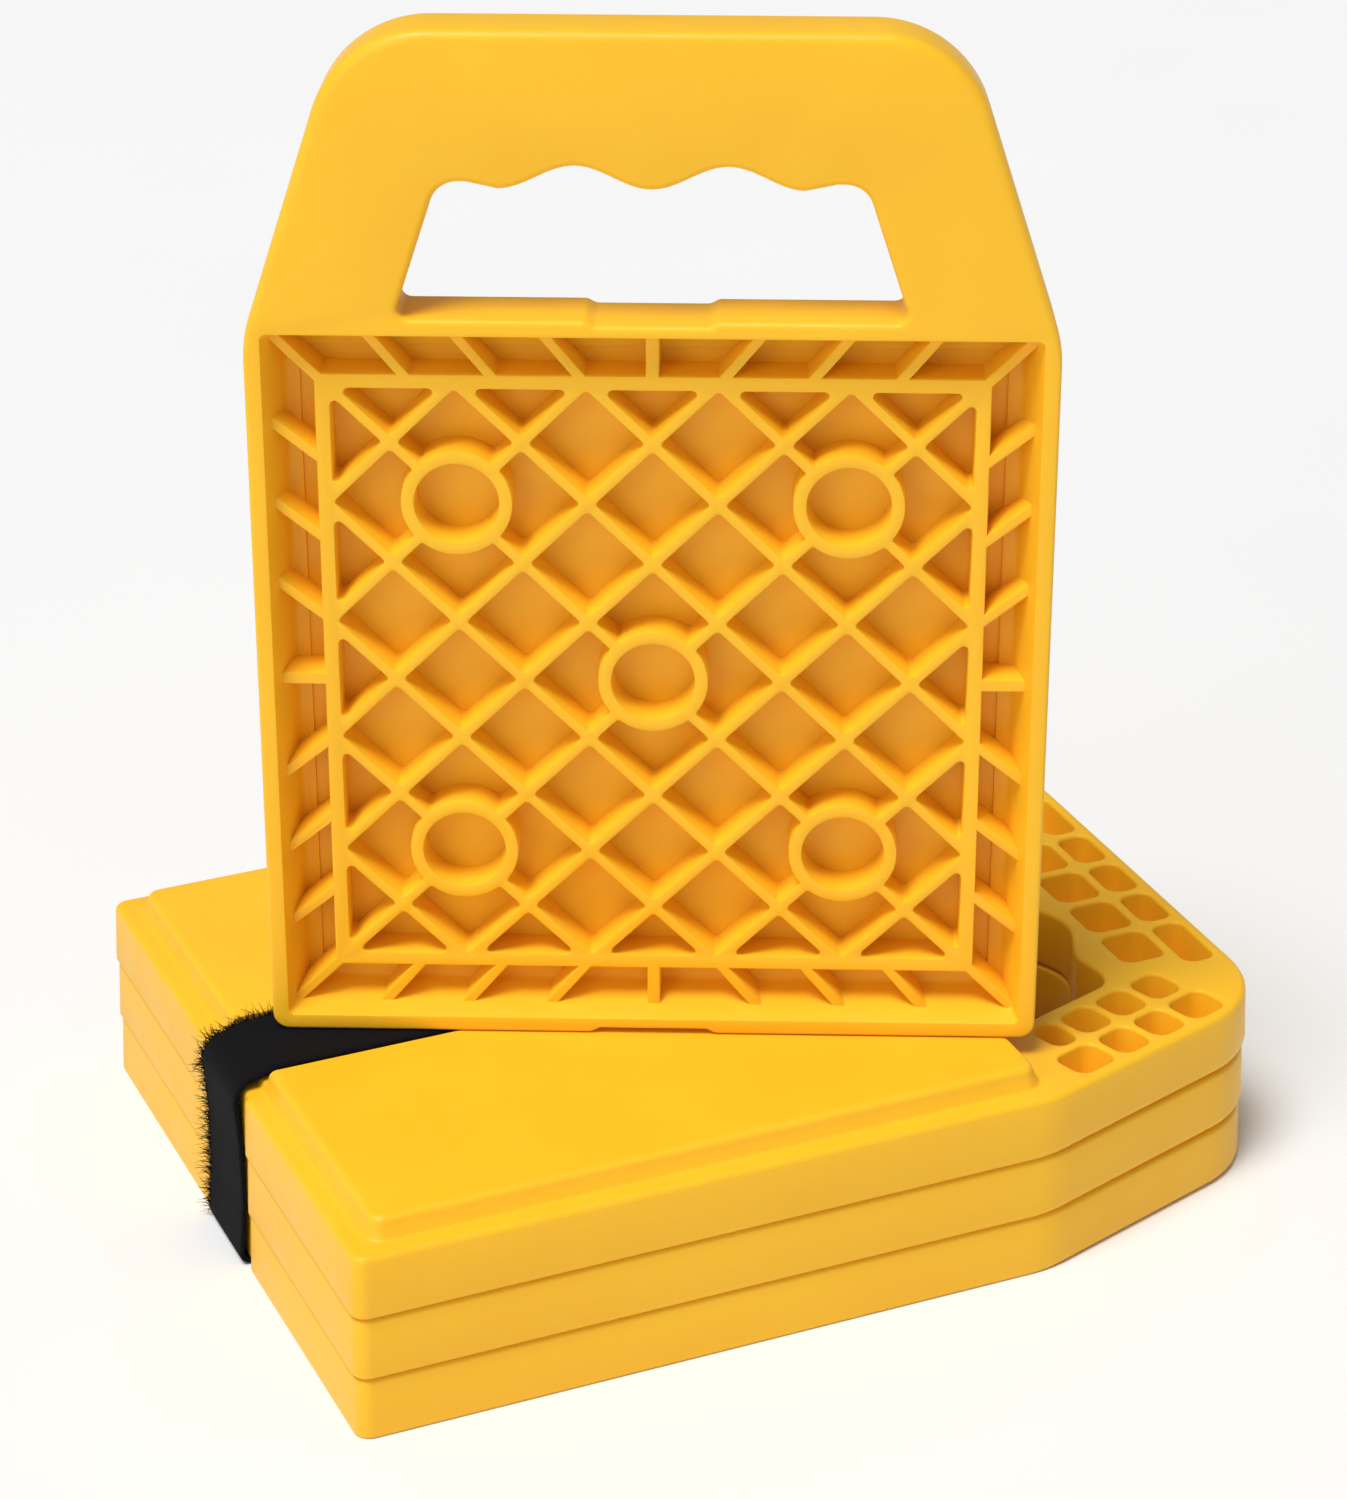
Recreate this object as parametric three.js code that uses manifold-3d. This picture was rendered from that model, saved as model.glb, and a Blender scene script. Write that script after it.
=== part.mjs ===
// Levelling block set: four identical ribbed blocks, three of them nested and strapped together
// and one standing on its plain end on top of the stack.
// Units are millimetres and +Z is up. Each block is drawn in its own frame, with the origin at the
// middle of the pad on the rim plane, +Y towards the handle and +Z towards the raised plate.

import * as THREE from 'three';
import { mergeVertices } from 'three/addons/utils/BufferGeometryUtils.js';
import Module from 'manifold-3d';

const wasm = await Module();
wasm.setup();

// ---- Driving dimensions of one block ----
const PAD_SIZE = 228.6;
const PAD_CORNER_RADIUS = 5;
const HANDLE_REACH = 83.4;
const LEDGE_HEIGHT = 20;
const PLATE_STEP = 6.5;
const PLATE_INSET = 7.6;
const PLATE_TAPER = 2.2;
const PLATE_CORNER_RADIUS = 6;
const SKIN = 3.5;
const RIM_WIDTH = 5;
const RIB_THICKNESS = 3;
const CENTRE_RIB_THICKNESS = 3.8;
const CELL_HALF_PITCH = 18.65;
const BOSS_OUTER_RADIUS = 16;
const BOSS_INNER_RADIUS = 12.15;

// ---- Handle and hand hole ----
const HANDLE_SLOPE_DEG = 18;
const SHOULDER_Y = 108.2;
const SHOULDER_RADIUS = 40;
const TIP_CORNER_RADIUS = 34;
const HOLE_FOOT_HALF = 72;
const HOLE_CORNER_RADIUS = 8;
const GRIP_LOBE_Y = 152.7;
const GRIP_WAVE_DEPTH = 6.7;
const GRIP_WAVE_PITCH = 42.3;
const GRIP_END_HALF = 51;
const GRIP_END_Y = 154.6;
const POCKET_FLOOR = 4;
const HANDLE_WALL = 4.7;

// ---- Strap notches ----
const NOTCH_FLAT = 32;
const NOTCH_MOUTH = 37.2;
const NOTCH_DEPTH = 1.4;
const STRAP_CHANNEL_WIDTH = 34;
const PLATE_CHANNEL_DEPTH = 2;
const RIM_RELIEF_DEPTH = 2.2;

// ---- Strap ----
const STRAP_WIDTH = 30;
const STRAP_THICKNESS = 1.6;
const RING_U = 50;
const RING_GAP = 9;
const RING_BAR = 3;
const RING_INNER_LENGTH = 32;
const TAIL_LENGTH = 38;
const HOOK_THICKNESS = 0.8;
const HOOK_LENGTH = 24;

// ---- Layout of the set ----
const GAP = 0.3;
const STACK_YAW_DEG = 25;
const STACK_COUNT = 3;
const STANDING_X = 25;
const STANDING_RIM_Y = -35;

const HALF = PAD_SIZE / 2;
const TIP_Y = HALF + HANDLE_REACH;
const PLATE_TOP = LEDGE_HEIGHT + PLATE_STEP;
const NEST_PITCH = LEDGE_HEIGHT + GAP;
const STACK_TOP = NEST_PITCH * (STACK_COUNT - 1) + PLATE_TOP;
const YELLOW = 0xfdc62f;
const BLACK = 0x17181c;

// ---- Outlines ----

// Replaces each corner {x, y, r, n} by an arc of radius r in n steps; r of 0 keeps it sharp.
function filleted(corners) {
  const points = [];
  corners.forEach(({ x, y, r = 0, n = 3 }, i) => {
    const here = new THREE.Vector2(x, y);
    if (!r) {
      points.push(here);
      return;
    }
    const before = corners[(i + corners.length - 1) % corners.length];
    const after = corners[(i + 1) % corners.length];
    const a = new THREE.Vector2(before.x - x, before.y - y).normalize();
    const b = new THREE.Vector2(after.x - x, after.y - y).normalize();
    const half = Math.acos(THREE.MathUtils.clamp(a.dot(b), -1, 1)) / 2;
    const bisector = a.clone().add(b).normalize();
    const centre = here.clone().addScaledVector(bisector, r / Math.sin(half));
    const start = here.clone().addScaledVector(a, r / Math.tan(half)).sub(centre);
    const end = here.clone().addScaledVector(b, r / Math.tan(half)).sub(centre);
    const turn = Math.atan2(start.cross(end), start.dot(end));
    for (let k = 0; k <= n; k += 1) {
      points.push(start.clone().rotateAround(new THREE.Vector2(), (turn * k) / n).add(centre));
    }
  });
  return points;
}

// The slope runs in by this much for each millimetre towards the handle's tip.
const LEAN = Math.tan(THREE.MathUtils.degToRad(HANDLE_SLOPE_DEG));

function blockOutline() {
  const notch = [
    [-NOTCH_MOUTH / 2, -HALF],
    [-NOTCH_FLAT / 2, -HALF + NOTCH_DEPTH],
    [NOTCH_FLAT / 2, -HALF + NOTCH_DEPTH],
    [NOTCH_MOUTH / 2, -HALF],
  ].map(([x, y]) => ({ x, y }));
  const tipHalf = HALF - (TIP_Y - SHOULDER_Y) * LEAN;
  return filleted([
    { x: -HALF, y: -HALF, r: PAD_CORNER_RADIUS },
    ...notch,
    { x: HALF, y: -HALF, r: PAD_CORNER_RADIUS },
    { x: HALF, y: SHOULDER_Y, r: SHOULDER_RADIUS, n: 3 },
    { x: tipHalf, y: TIP_Y, r: TIP_CORNER_RADIUS, n: 8 },
    { x: -tipHalf, y: TIP_Y, r: TIP_CORNER_RADIUS, n: 8 },
    { x: -HALF, y: SHOULDER_Y, r: SHOULDER_RADIUS, n: 3 },
  ]);
}

function gripY(x) {
  const wave = (GRIP_WAVE_DEPTH / 2) * (1 - Math.cos((2 * Math.PI * x) / GRIP_WAVE_PITCH));
  return GRIP_LOBE_Y + wave;
}

function handHoleOutline() {
  const steps = 16;
  const grip = [];
  for (let k = 0; k <= steps; k += 1) {
    const x = GRIP_WAVE_PITCH - (2 * GRIP_WAVE_PITCH * k) / steps;
    grip.push({ x, y: gripY(x) });
  }
  const topHalf = HOLE_FOOT_HALF - (GRIP_END_Y - HALF) * LEAN;
  return filleted([
    { x: -HOLE_FOOT_HALF, y: HALF, r: 3, n: 2 },
    { x: -NOTCH_MOUTH / 2, y: HALF },
    { x: -NOTCH_FLAT / 2, y: HALF - NOTCH_DEPTH },
    { x: NOTCH_FLAT / 2, y: HALF - NOTCH_DEPTH },
    { x: NOTCH_MOUTH / 2, y: HALF },
    { x: HOLE_FOOT_HALF, y: HALF, r: 3, n: 2 },
    { x: topHalf, y: GRIP_END_Y, r: HOLE_CORNER_RADIUS, n: 4 },
    { x: GRIP_END_HALF, y: GRIP_END_Y },
    ...grip,
    { x: -GRIP_END_HALF, y: GRIP_END_Y },
    { x: -topHalf, y: GRIP_END_Y, r: HOLE_CORNER_RADIUS, n: 4 },
  ]);
}

// ---- Solids ----

function toSolid(geometry) {
  const bare = geometry.index ? geometry.toNonIndexed() : geometry.clone();
  bare.deleteAttribute('normal');
  bare.deleteAttribute('uv');
  const merged = mergeVertices(bare, 1e-4);
  return new wasm.Manifold(new wasm.Mesh({
    numProp: 3,
    vertProperties: new Float32Array(merged.attributes.position.array),
    triVerts: new Uint32Array(merged.index.array),
  }));
}

function prism(points, z0, z1, holes = []) {
  const shape = new THREE.Shape(points);
  shape.holes = holes.map((hole) => new THREE.Path(hole));
  const geometry = new THREE.ExtrudeGeometry(shape, { depth: z1 - z0, bevelEnabled: false });
  return toSolid(geometry.translate(0, 0, z0));
}

function box(x0, x1, y0, y1, z0, z1) {
  const geometry = new THREE.BoxGeometry(x1 - x0, y1 - y0, z1 - z0);
  return toSolid(geometry.translate((x0 + x1) / 2, (y0 + y1) / 2, (z0 + z1) / 2));
}

function squareBox(half, z0, z1) {
  return box(-half, half, -half, half, z0, z1);
}

// A square frustum: half sizes at its lower and upper faces.
function squareFrustum(lowerHalf, upperHalf, z0, z1) {
  const geometry = new THREE.CylinderGeometry(
    upperHalf * Math.SQRT2, lowerHalf * Math.SQRT2, z1 - z0, 4,
  );
  geometry.rotateY(Math.PI / 4);
  geometry.rotateX(Math.PI / 2);
  return toSolid(geometry.translate(0, 0, (z0 + z1) / 2));
}

// An upright bar between two points in plan.
function bar(ax, ay, bx, by, thickness, z0, z1) {
  const geometry = new THREE.BoxGeometry(Math.hypot(bx - ax, by - ay), thickness, z1 - z0);
  geometry.rotateZ(Math.atan2(by - ay, bx - ax));
  return toSolid(geometry.translate((ax + bx) / 2, (ay + by) / 2, (z0 + z1) / 2));
}

function post(x, y, radius, z0, z1, sides) {
  const geometry = new THREE.CylinderGeometry(radius, radius, z1 - z0, sides);
  geometry.rotateX(Math.PI / 2);
  return toSolid(geometry.translate(x, y, (z0 + z1) / 2));
}

function joined(solids) {
  return solids.reduce((sum, solid) => sum.add(solid));
}

// ---- Block ----

const RIB_FOOT = PLATE_STEP;
const FLOOR = PLATE_TOP - SKIN;
const LEDGE_FLOOR = LEDGE_HEIGHT - 3;
const DEEP_HALF = HALF - 14;
const RING_HALF = 5 * CELL_HALF_PITCH;
const RING_WIDTH = 4.3;
const BOSS_SIDES = 16;

function raisedPlate() {
  const half = HALF - PLATE_INSET;
  const corners = [[-half, -half], [half, -half], [half, half], [-half, half]];
  const outline = filleted(corners.map(([x, y]) => ({ x, y, r: PLATE_CORNER_RADIUS, n: 3 })));
  const root = 2;
  const geometry = new THREE.ExtrudeGeometry(new THREE.Shape(outline), {
    depth: root,
    bevelThickness: PLATE_STEP,
    bevelSize: PLATE_TAPER,
    bevelOffset: -PLATE_TAPER,
    bevelSegments: 1,
  });
  return toSolid(geometry.translate(0, 0, LEDGE_HEIGHT - root));
}

// Diagonal bars through every second point of the cell grid, inside the square ring.
function latticeBars(z0, z1) {
  const bars = [];
  const lines = 4;
  for (let m = -lines; m <= lines; m += 1) {
    const offset = 2 * m * CELL_HALF_PITCH;
    const low = Math.max(-RING_HALF, offset - RING_HALF);
    const high = Math.min(RING_HALF, offset + RING_HALF);
    bars.push(bar(low, offset - low, high, offset - high, RIB_THICKNESS, z0, z1));
    bars.push(bar(low, low - offset, high, high - offset, RIB_THICKNESS, z0, z1));
  }
  return bars;
}

function squareRing(z0, z1) {
  const outer = squareBox(RING_HALF + RING_WIDTH / 2, z0, z1);
  return outer.subtract(squareBox(RING_HALF - RING_WIDTH / 2, z0 - 1, z1 + 1));
}

function bossCentres() {
  const reach = 3 * CELL_HALF_PITCH;
  return [[0, 0], [reach, reach], [-reach, reach], [reach, -reach], [-reach, -reach]];
}

// Short ribs from the ring out to the rim wall, leaning away from the middle of each side.
function troughRibs(z0, z1) {
  const inner = RING_HALF;
  const outer = HALF - RIM_WIDTH - 0.8;
  const lean = 0.81 * (outer - inner);
  const starts = [19, 44, 68.6];
  const bars = [bar(0, inner, 0, outer, CENTRE_RIB_THICKNESS, z0, z1)];
  starts.forEach((x) => {
    bars.push(bar(x, inner, x + lean, outer, RIB_THICKNESS, z0, z1));
    bars.push(bar(-x, inner, -x - lean, outer, RIB_THICKNESS, z0, z1));
  });
  bars.push(bar(inner, inner, outer, outer, RIB_THICKNESS, z0, z1));
  return [0, 90, 180, 270].map((turn) => joined(bars).rotate([0, 0, turn]));
}

function ribWork() {
  const top = FLOOR + 1;
  let lattice = joined(latticeBars(RIB_FOOT, top));
  const centres = bossCentres();
  const bosses = centres.map(([x, y]) => post(x, y, BOSS_OUTER_RADIUS, RIB_FOOT, top, BOSS_SIDES));
  const cups = centres.map(([x, y]) => {
    return post(x, y, BOSS_INNER_RADIUS, RIB_FOOT - 1, top + 1, BOSS_SIDES);
  });
  lattice = lattice.add(joined(bosses)).subtract(joined(cups));
  const all = joined([lattice, squareRing(RIB_FOOT, top), ...troughRibs(RIB_FOOT, top)]);
  const envelope = squareBox(HALF - RIM_WIDTH, RIB_FOOT - 1, LEDGE_FLOOR + 1);
  return all.intersect(envelope.add(squareBox(DEEP_HALF + 1, RIB_FOOT - 1, top + 1)));
}

// Pockets cored into the top of the handle. A row is its lower and upper Y and its spans in X.
const POCKET_ROWS = [
  { y0: 182.5, y1: TIP_Y - HANDLE_WALL, spans: [[12.4, 30], [33.5, 58]] },
  { y0: 164.3, y1: 179.3, spans: [[12.4, 30], [33.5, 51]] },
];
const MIDDLE_POCKET_HALF = 8.9;

// A column runs down an arm: its near and far sides measured across the arm, and its spans along it.
const ARM_WIDTH = 38.2;
const ARM_RIB = [17.6, 20.8];
const POCKET_COLUMNS = [
  { t0: HANDLE_WALL, t1: ARM_RIB[0], spans: [[2, 11], [14, 26.5], [29.5, 42], [45, 57]] },
  { t0: ARM_RIB[1], t1: ARM_WIDTH - HANDLE_WALL, spans: [[-4, 11], [14, 26.5], [29.5, 42], [45, 62]] },
];

function pocket(corners) {
  return prism(corners, POCKET_FLOOR, LEDGE_HEIGHT + 1);
}

function pocketPair(corners) {
  const mirrored = corners.map(({ x, y }) => new THREE.Vector2(-x, y)).reverse();
  return [pocket(corners), pocket(mirrored)];
}

function rectangle(x0, x1, y0, y1) {
  return [[x0, y0], [x1, y0], [x1, y1], [x0, y1]].map(([x, y]) => new THREE.Vector2(x, y));
}

function handlePockets() {
  const rows = POCKET_ROWS.flatMap(({ y0, y1, spans }) => [
    pocket(rectangle(-MIDDLE_POCKET_HALF, MIDDLE_POCKET_HALF, y0, y1)),
    ...spans.flatMap(([x0, x1]) => pocketPair(rectangle(x0, x1, y0, y1))),
  ]);
  const slope = THREE.MathUtils.degToRad(HANDLE_SLOPE_DEG);
  const along = new THREE.Vector2(-Math.sin(slope), Math.cos(slope));
  const across = new THREE.Vector2(Math.cos(slope), Math.sin(slope));
  const armPoint = (s, t) => {
    const foot = new THREE.Vector2(HOLE_FOOT_HALF, HALF);
    return foot.addScaledVector(along, s).addScaledVector(across, t);
  };
  const columns = POCKET_COLUMNS.flatMap(({ t0, t1, spans }) => spans.flatMap(([s0, s1]) => {
    return pocketPair([armPoint(s0, t0), armPoint(s0, t1), armPoint(s1, t1), armPoint(s1, t0)]);
  }));
  return [...rows, ...columns];
}

// The strap's groove along the plate, ramped down at both ends, and its reliefs under the two end rims.
function strapChannels() {
  const half = STRAP_CHANNEL_WIDTH / 2;
  const rampFoot = HALF - PLATE_INSET + 1;
  const rampFootZ = LEDGE_HEIGHT + 1.2;
  const profile = [
    [-rampFoot, PLATE_TOP + 1],
    [-rampFoot, rampFootZ],
    [-DEEP_HALF, PLATE_TOP - PLATE_CHANNEL_DEPTH],
    [DEEP_HALF, PLATE_TOP - PLATE_CHANNEL_DEPTH],
    [rampFoot, rampFootZ],
    [rampFoot, PLATE_TOP + 1],
  ].map(([y, z]) => new THREE.Vector2(y, z));
  const groove = prism(profile, -half, half).rotate([90, 0, 90]);
  const inRim = HALF - 2.4 * RIM_WIDTH;
  return [
    groove,
    box(-half, half, -HALF - 1, -inRim, -1, RIM_RELIEF_DEPTH),
    box(-half, half, inRim, HALF + 1, -1, RIM_RELIEF_DEPTH),
  ];
}

function makeBlock() {
  const body = prism(blockOutline(), 0, LEDGE_HEIGHT, [handHoleOutline()]).add(raisedPlate());
  const rimSlope = 1.9 * RIM_WIDTH;
  const nest = squareFrustum(HALF - RIM_WIDTH, HALF - rimSlope, 0, LEDGE_FLOOR);
  const mouth = squareBox(HALF - RIM_WIDTH, -1, 0);
  const deep = squareBox(DEEP_HALF, RIB_FOOT, FLOOR);
  const hollow = joined([nest, mouth, deep]);
  const shell = body.subtract(hollow).subtract(joined(handlePockets()));
  return shell.add(ribWork()).subtract(joined(strapChannels()));
}

// ---- Strap: drawn in the stack's upright middle plane, u towards the handles and z up ----

const CHANNEL_FLOOR = STACK_TOP - PLATE_CHANNEL_DEPTH;
const RUN_Z = CHANNEL_FLOOR + GAP + STRAP_THICKNESS / 2;
const UNDER_Z = GAP + STRAP_THICKNESS / 2;
const WRAP_RADIUS = RING_BAR / 2 + 1.1 + STRAP_THICKNESS / 2;
const RING_Z = RUN_Z + WRAP_RADIUS;
const FACE_U = HALF - NOTCH_DEPTH + GAP + STRAP_THICKNESS / 2;
const LEDGE_TOP = NEST_PITCH * (STACK_COUNT - 1) + LEDGE_HEIGHT;

// A flat band of the given thickness that follows an open path, as an outline for extrusion.
function bandOutline(path, thickness) {
  const left = [];
  const right = [];
  path.forEach((point, i) => {
    const before = path[Math.max(i - 1, 0)];
    const after = path[Math.min(i + 1, path.length - 1)];
    const inDirection = point.clone().sub(before).normalize();
    const outDirection = after.clone().sub(point).normalize();
    const direction = inDirection.clone().add(outDirection).normalize();
    const normal = new THREE.Vector2(-direction.y, direction.x);
    const stretch = Math.max(normal.dot(new THREE.Vector2(-outDirection.y, outDirection.x)),
      normal.dot(new THREE.Vector2(-inDirection.y, inDirection.x)));
    const reach = thickness / 2 / Math.max(stretch, 0.5);
    left.push(point.clone().addScaledVector(normal, reach));
    right.push(point.clone().addScaledVector(normal, -reach));
  });
  return [...left, ...right.reverse()];
}

// filleted() treats its list as closed, so an open path drops the arcs at its two ends.
function openPath(corners) {
  return filleted(corners.map((corner, i) => {
    return i === 0 || i === corners.length - 1 ? { ...corner, r: 0 } : corner;
  }));
}

// Down one end of the stack, from the plate's groove to the run under the rims. side is -1 or 1.
function endRun(side) {
  const bulge = FACE_U + 1.6;
  return [
    { x: side * (DEEP_HALF + 0.7), y: RUN_Z, r: 14, n: 2 },
    { x: side * bulge, y: LEDGE_TOP + 1.4, r: 7, n: 4 },
    { x: side * FACE_U, y: LEDGE_TOP - 20, r: 60, n: 2 },
    { x: side * FACE_U, y: UNDER_Z + 20, r: 60, n: 2 },
    { x: side * bulge, y: UNDER_Z, r: 2.6, n: 4 },
  ];
}

// Folded over the ring's left bar and sewn, round the stack, and up over the ring's right bar.
function webbingPath() {
  const leftBar = RING_U - RING_GAP / 2 - RING_BAR / 2;
  const rightBar = RING_U + RING_GAP / 2 + RING_BAR / 2;
  const lapZ = RUN_Z + STRAP_THICKNESS + GAP;
  const overBar = RING_Z + WRAP_RADIUS;
  const bend = WRAP_RADIUS * 0.99;
  return openPath([
    { x: leftBar - 28, y: lapZ },
    { x: leftBar - 13, y: lapZ, r: 4, n: 2 },
    { x: leftBar - 4, y: overBar, r: 4, n: 2 },
    { x: leftBar + WRAP_RADIUS, y: overBar, r: bend, n: 3 },
    { x: leftBar + WRAP_RADIUS, y: RUN_Z, r: bend, n: 3 },
    ...endRun(-1),
    ...endRun(1).reverse(),
    { x: rightBar - WRAP_RADIUS, y: RUN_Z, r: bend, n: 3 },
    { x: rightBar - WRAP_RADIUS, y: overBar, r: bend, n: 3 },
    { x: rightBar + 2, y: overBar },
  ]);
}

function strapPiece(outline, width) {
  const geometry = new THREE.ExtrudeGeometry(new THREE.Shape(outline), {
    depth: width,
    bevelEnabled: false,
  });
  geometry.translate(0, 0, -width / 2);
  geometry.rotateX(Math.PI / 2);
  return toSolid(geometry);
}

function makeRing() {
  const halfU = RING_GAP / 2 + RING_BAR;
  const halfV = RING_INNER_LENGTH / 2 + RING_BAR;
  const z0 = RING_Z - RING_BAR / 2;
  const z1 = RING_Z + RING_BAR / 2;
  const outer = filleted([[-1, -1], [1, -1], [1, 1], [-1, 1]].map(([a, b]) => {
    return { x: RING_U + a * halfU, y: b * halfV, r: RING_BAR * 0.8, n: 2 };
  }));
  const inner = [[-1, -1], [1, -1], [1, 1], [-1, 1]].map(([a, b]) => {
    return new THREE.Vector2(RING_U + (a * RING_GAP) / 2, (b * RING_INNER_LENGTH) / 2);
  });
  return prism(outer, z0, z1, [inner]);
}

const TAIL_U = RING_U + RING_GAP / 2 + RING_BAR / 2 + 2 + GAP;
const TAIL_Z = RING_Z + WRAP_RADIUS;
const HOOK_LOW = RUN_Z + STRAP_THICKNESS / 2 + GAP;
const TAIL_REST_Z = HOOK_LOW + HOOK_THICKNESS + GAP + STRAP_THICKNESS / 2;

function makeTail() {
  const path = openPath([
    { x: TAIL_U, y: TAIL_Z },
    { x: TAIL_U + 2, y: TAIL_Z, r: 3, n: 2 },
    { x: TAIL_U + 9, y: TAIL_REST_Z, r: 4, n: 2 },
    { x: TAIL_U + TAIL_LENGTH, y: TAIL_REST_Z },
  ]);
  return strapPiece(bandOutline(path, STRAP_THICKNESS), STRAP_WIDTH);
}

function makeHookPatch() {
  const start = TAIL_U + TAIL_LENGTH - HOOK_LENGTH - 2;
  return box(start, start + HOOK_LENGTH, -STRAP_WIDTH / 2 + 1, STRAP_WIDTH / 2 - 1,
    HOOK_LOW, HOOK_LOW + HOOK_THICKNESS);
}

// A sewn box with a cross through it, on the doubled end that holds the ring.
function makeStitching() {
  const z0 = RUN_Z + STRAP_THICKNESS * 1.5 + 2 * GAP;
  const z1 = z0 + 0.5;
  const u1 = RING_U - RING_GAP / 2 - RING_BAR / 2 - 14.5;
  const u0 = u1 - 12;
  const v = STRAP_WIDTH / 2 - 4;
  const thread = 0.9;
  return joined([
    bar(u0, -v, u1, -v, thread, z0, z1),
    bar(u0, v, u1, v, thread, z0, z1),
    bar(u0, -v, u0, v, thread, z0, z1),
    bar(u1, -v, u1, v, thread, z0, z1),
    bar(u0, -v, u1, v, thread, z0, z1),
    bar(u0, v, u1, -v, thread, z0, z1),
  ]);
}

// ---- Assembly ----

function toMesh(name, solid, color, roughness) {
  const { vertProperties, triVerts, numProp } = solid.getMesh();
  const geometry = new THREE.BufferGeometry();
  const positions = new Float32Array((vertProperties.length / numProp) * 3);
  for (let i = 0; i < positions.length / 3; i += 1) {
    positions.set(vertProperties.slice(i * numProp, i * numProp + 3), i * 3);
  }
  geometry.setAttribute('position', new THREE.BufferAttribute(positions, 3));
  geometry.setIndex(new THREE.BufferAttribute(new Uint32Array(triVerts), 1));
  geometry.computeVertexNormals();
  const mesh = new THREE.Mesh(geometry, new THREE.MeshStandardMaterial({ color, roughness }));
  mesh.name = name;
  return mesh;
}

const set = new THREE.Group();
const stack = new THREE.Group();
const block = makeBlock();

['block_bottom', 'block_middle', 'block_top'].forEach((name, level) => {
  const mesh = toMesh(name, block, YELLOW, 0.42);
  mesh.rotation.z = -Math.PI / 2;
  mesh.position.z = level * NEST_PITCH;
  stack.add(mesh);
});

const strapPieces = {
  strap_webbing: strapPiece(bandOutline(webbingPath(), STRAP_THICKNESS), STRAP_WIDTH),
  strap_ring: makeRing(),
  strap_tail: makeTail(),
  strap_hook_patch: makeHookPatch(),
  strap_stitching: makeStitching(),
};
Object.entries(strapPieces).forEach(([name, solid]) => {
  stack.add(toMesh(name, solid, BLACK, 0.9));
});
stack.rotation.z = THREE.MathUtils.degToRad(STACK_YAW_DEG);
set.add(stack);

const standing = toMesh('block_standing', block, YELLOW, 0.42);
standing.setRotationFromMatrix(new THREE.Matrix4().makeBasis(
  new THREE.Vector3(-1, 0, 0),
  new THREE.Vector3(0, 0, 1),
  new THREE.Vector3(0, 1, 0),
));
standing.position.set(STANDING_X, STANDING_RIM_Y, STACK_TOP + GAP + HALF);
set.add(standing);

// The origin is the middle of the whole set's footprint, on the floor.
const bounds = new THREE.Box3().setFromObject(set, true);
const middle = bounds.getCenter(new THREE.Vector3());
set.position.set(-middle.x, -middle.y, 0);

export default set;
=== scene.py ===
"""Visual model of the levelling block set: four ribbed blocks, three strapped in a stack, one standing.

Lengths in the block's own drawing are millimetres; everything placed in the scene is in metres.
"""
import math
import random
import bmesh
import bpy
import numpy as np
from mathutils import Matrix, Vector
from mathutils.geometry import delaunay_2d_cdt


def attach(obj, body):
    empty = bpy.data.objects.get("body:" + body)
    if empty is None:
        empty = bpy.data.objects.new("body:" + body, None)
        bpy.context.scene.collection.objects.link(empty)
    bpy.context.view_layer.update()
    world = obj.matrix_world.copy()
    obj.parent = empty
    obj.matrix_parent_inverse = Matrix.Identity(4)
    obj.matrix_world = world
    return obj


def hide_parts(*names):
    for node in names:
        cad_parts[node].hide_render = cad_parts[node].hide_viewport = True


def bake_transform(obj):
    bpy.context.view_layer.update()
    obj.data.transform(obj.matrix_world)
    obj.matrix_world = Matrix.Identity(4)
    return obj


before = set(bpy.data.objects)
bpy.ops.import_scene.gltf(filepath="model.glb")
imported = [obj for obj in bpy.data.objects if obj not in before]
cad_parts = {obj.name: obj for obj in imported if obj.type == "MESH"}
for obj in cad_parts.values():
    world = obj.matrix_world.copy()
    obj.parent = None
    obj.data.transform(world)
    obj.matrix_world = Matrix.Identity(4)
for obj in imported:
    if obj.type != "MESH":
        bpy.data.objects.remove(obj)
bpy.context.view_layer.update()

MM = 0.001

# ---- One block, in its own frame: origin mid-pad on the rim plane, +Y to the handle, +Z to the plate ----
HALF = 114.3
PAD_CORNER = 5
TIP_Y = HALF + 83.4
LEDGE = 20.0
PLATE_TOP = 26.5
PLATE_HALF = HALF - 7.6
PLATE_TAPER = 2.2
PLATE_CORNER = 6
PLATE_EDGE = 2.4
DEEP_FLOOR = 23.0
LEDGE_FLOOR = 17.0
DEEP_HALF = HALF - 14
MOUTH_HALF = HALF - 5
NEST_TOP_HALF = HALF - 9.5
RIB_FOOT = 6.5
HALF_PITCH = 18.65
RIB = 3.0
CENTRE_RIB = 3.8
TROUGH_RIB_FEET = (19, 44, 68.6)
TROUGH_RIB_SLANT = 0.81
RING_HALF = 5 * HALF_PITCH
RING_WIDTH = 4.3
BOSS_OUTER = 16.0
BOSS_INNER = 12.15
CELL_CORNER = 1.3
SMALLEST_CELL = 12
PIN_RADIUS = 3.4
PIN_HEIGHT = 0.22
SLOPE = math.radians(18)
LEAN = math.tan(SLOPE)
SHOULDER_Y = 108.2
SHOULDER_RADIUS = 40
TIP_RADIUS = 34
HOLE_FOOT_HALF = 72.0
HOLE_CORNER = 8
GRIP_Y = 152.7
GRIP_WAVE = 6.7
GRIP_PITCH = 42.3
GRIP_END = 51.0
HOLE_TOP_Y = 154.6
POCKET_FLOOR = 4.0
POCKET_CORNER = 3.9
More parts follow.
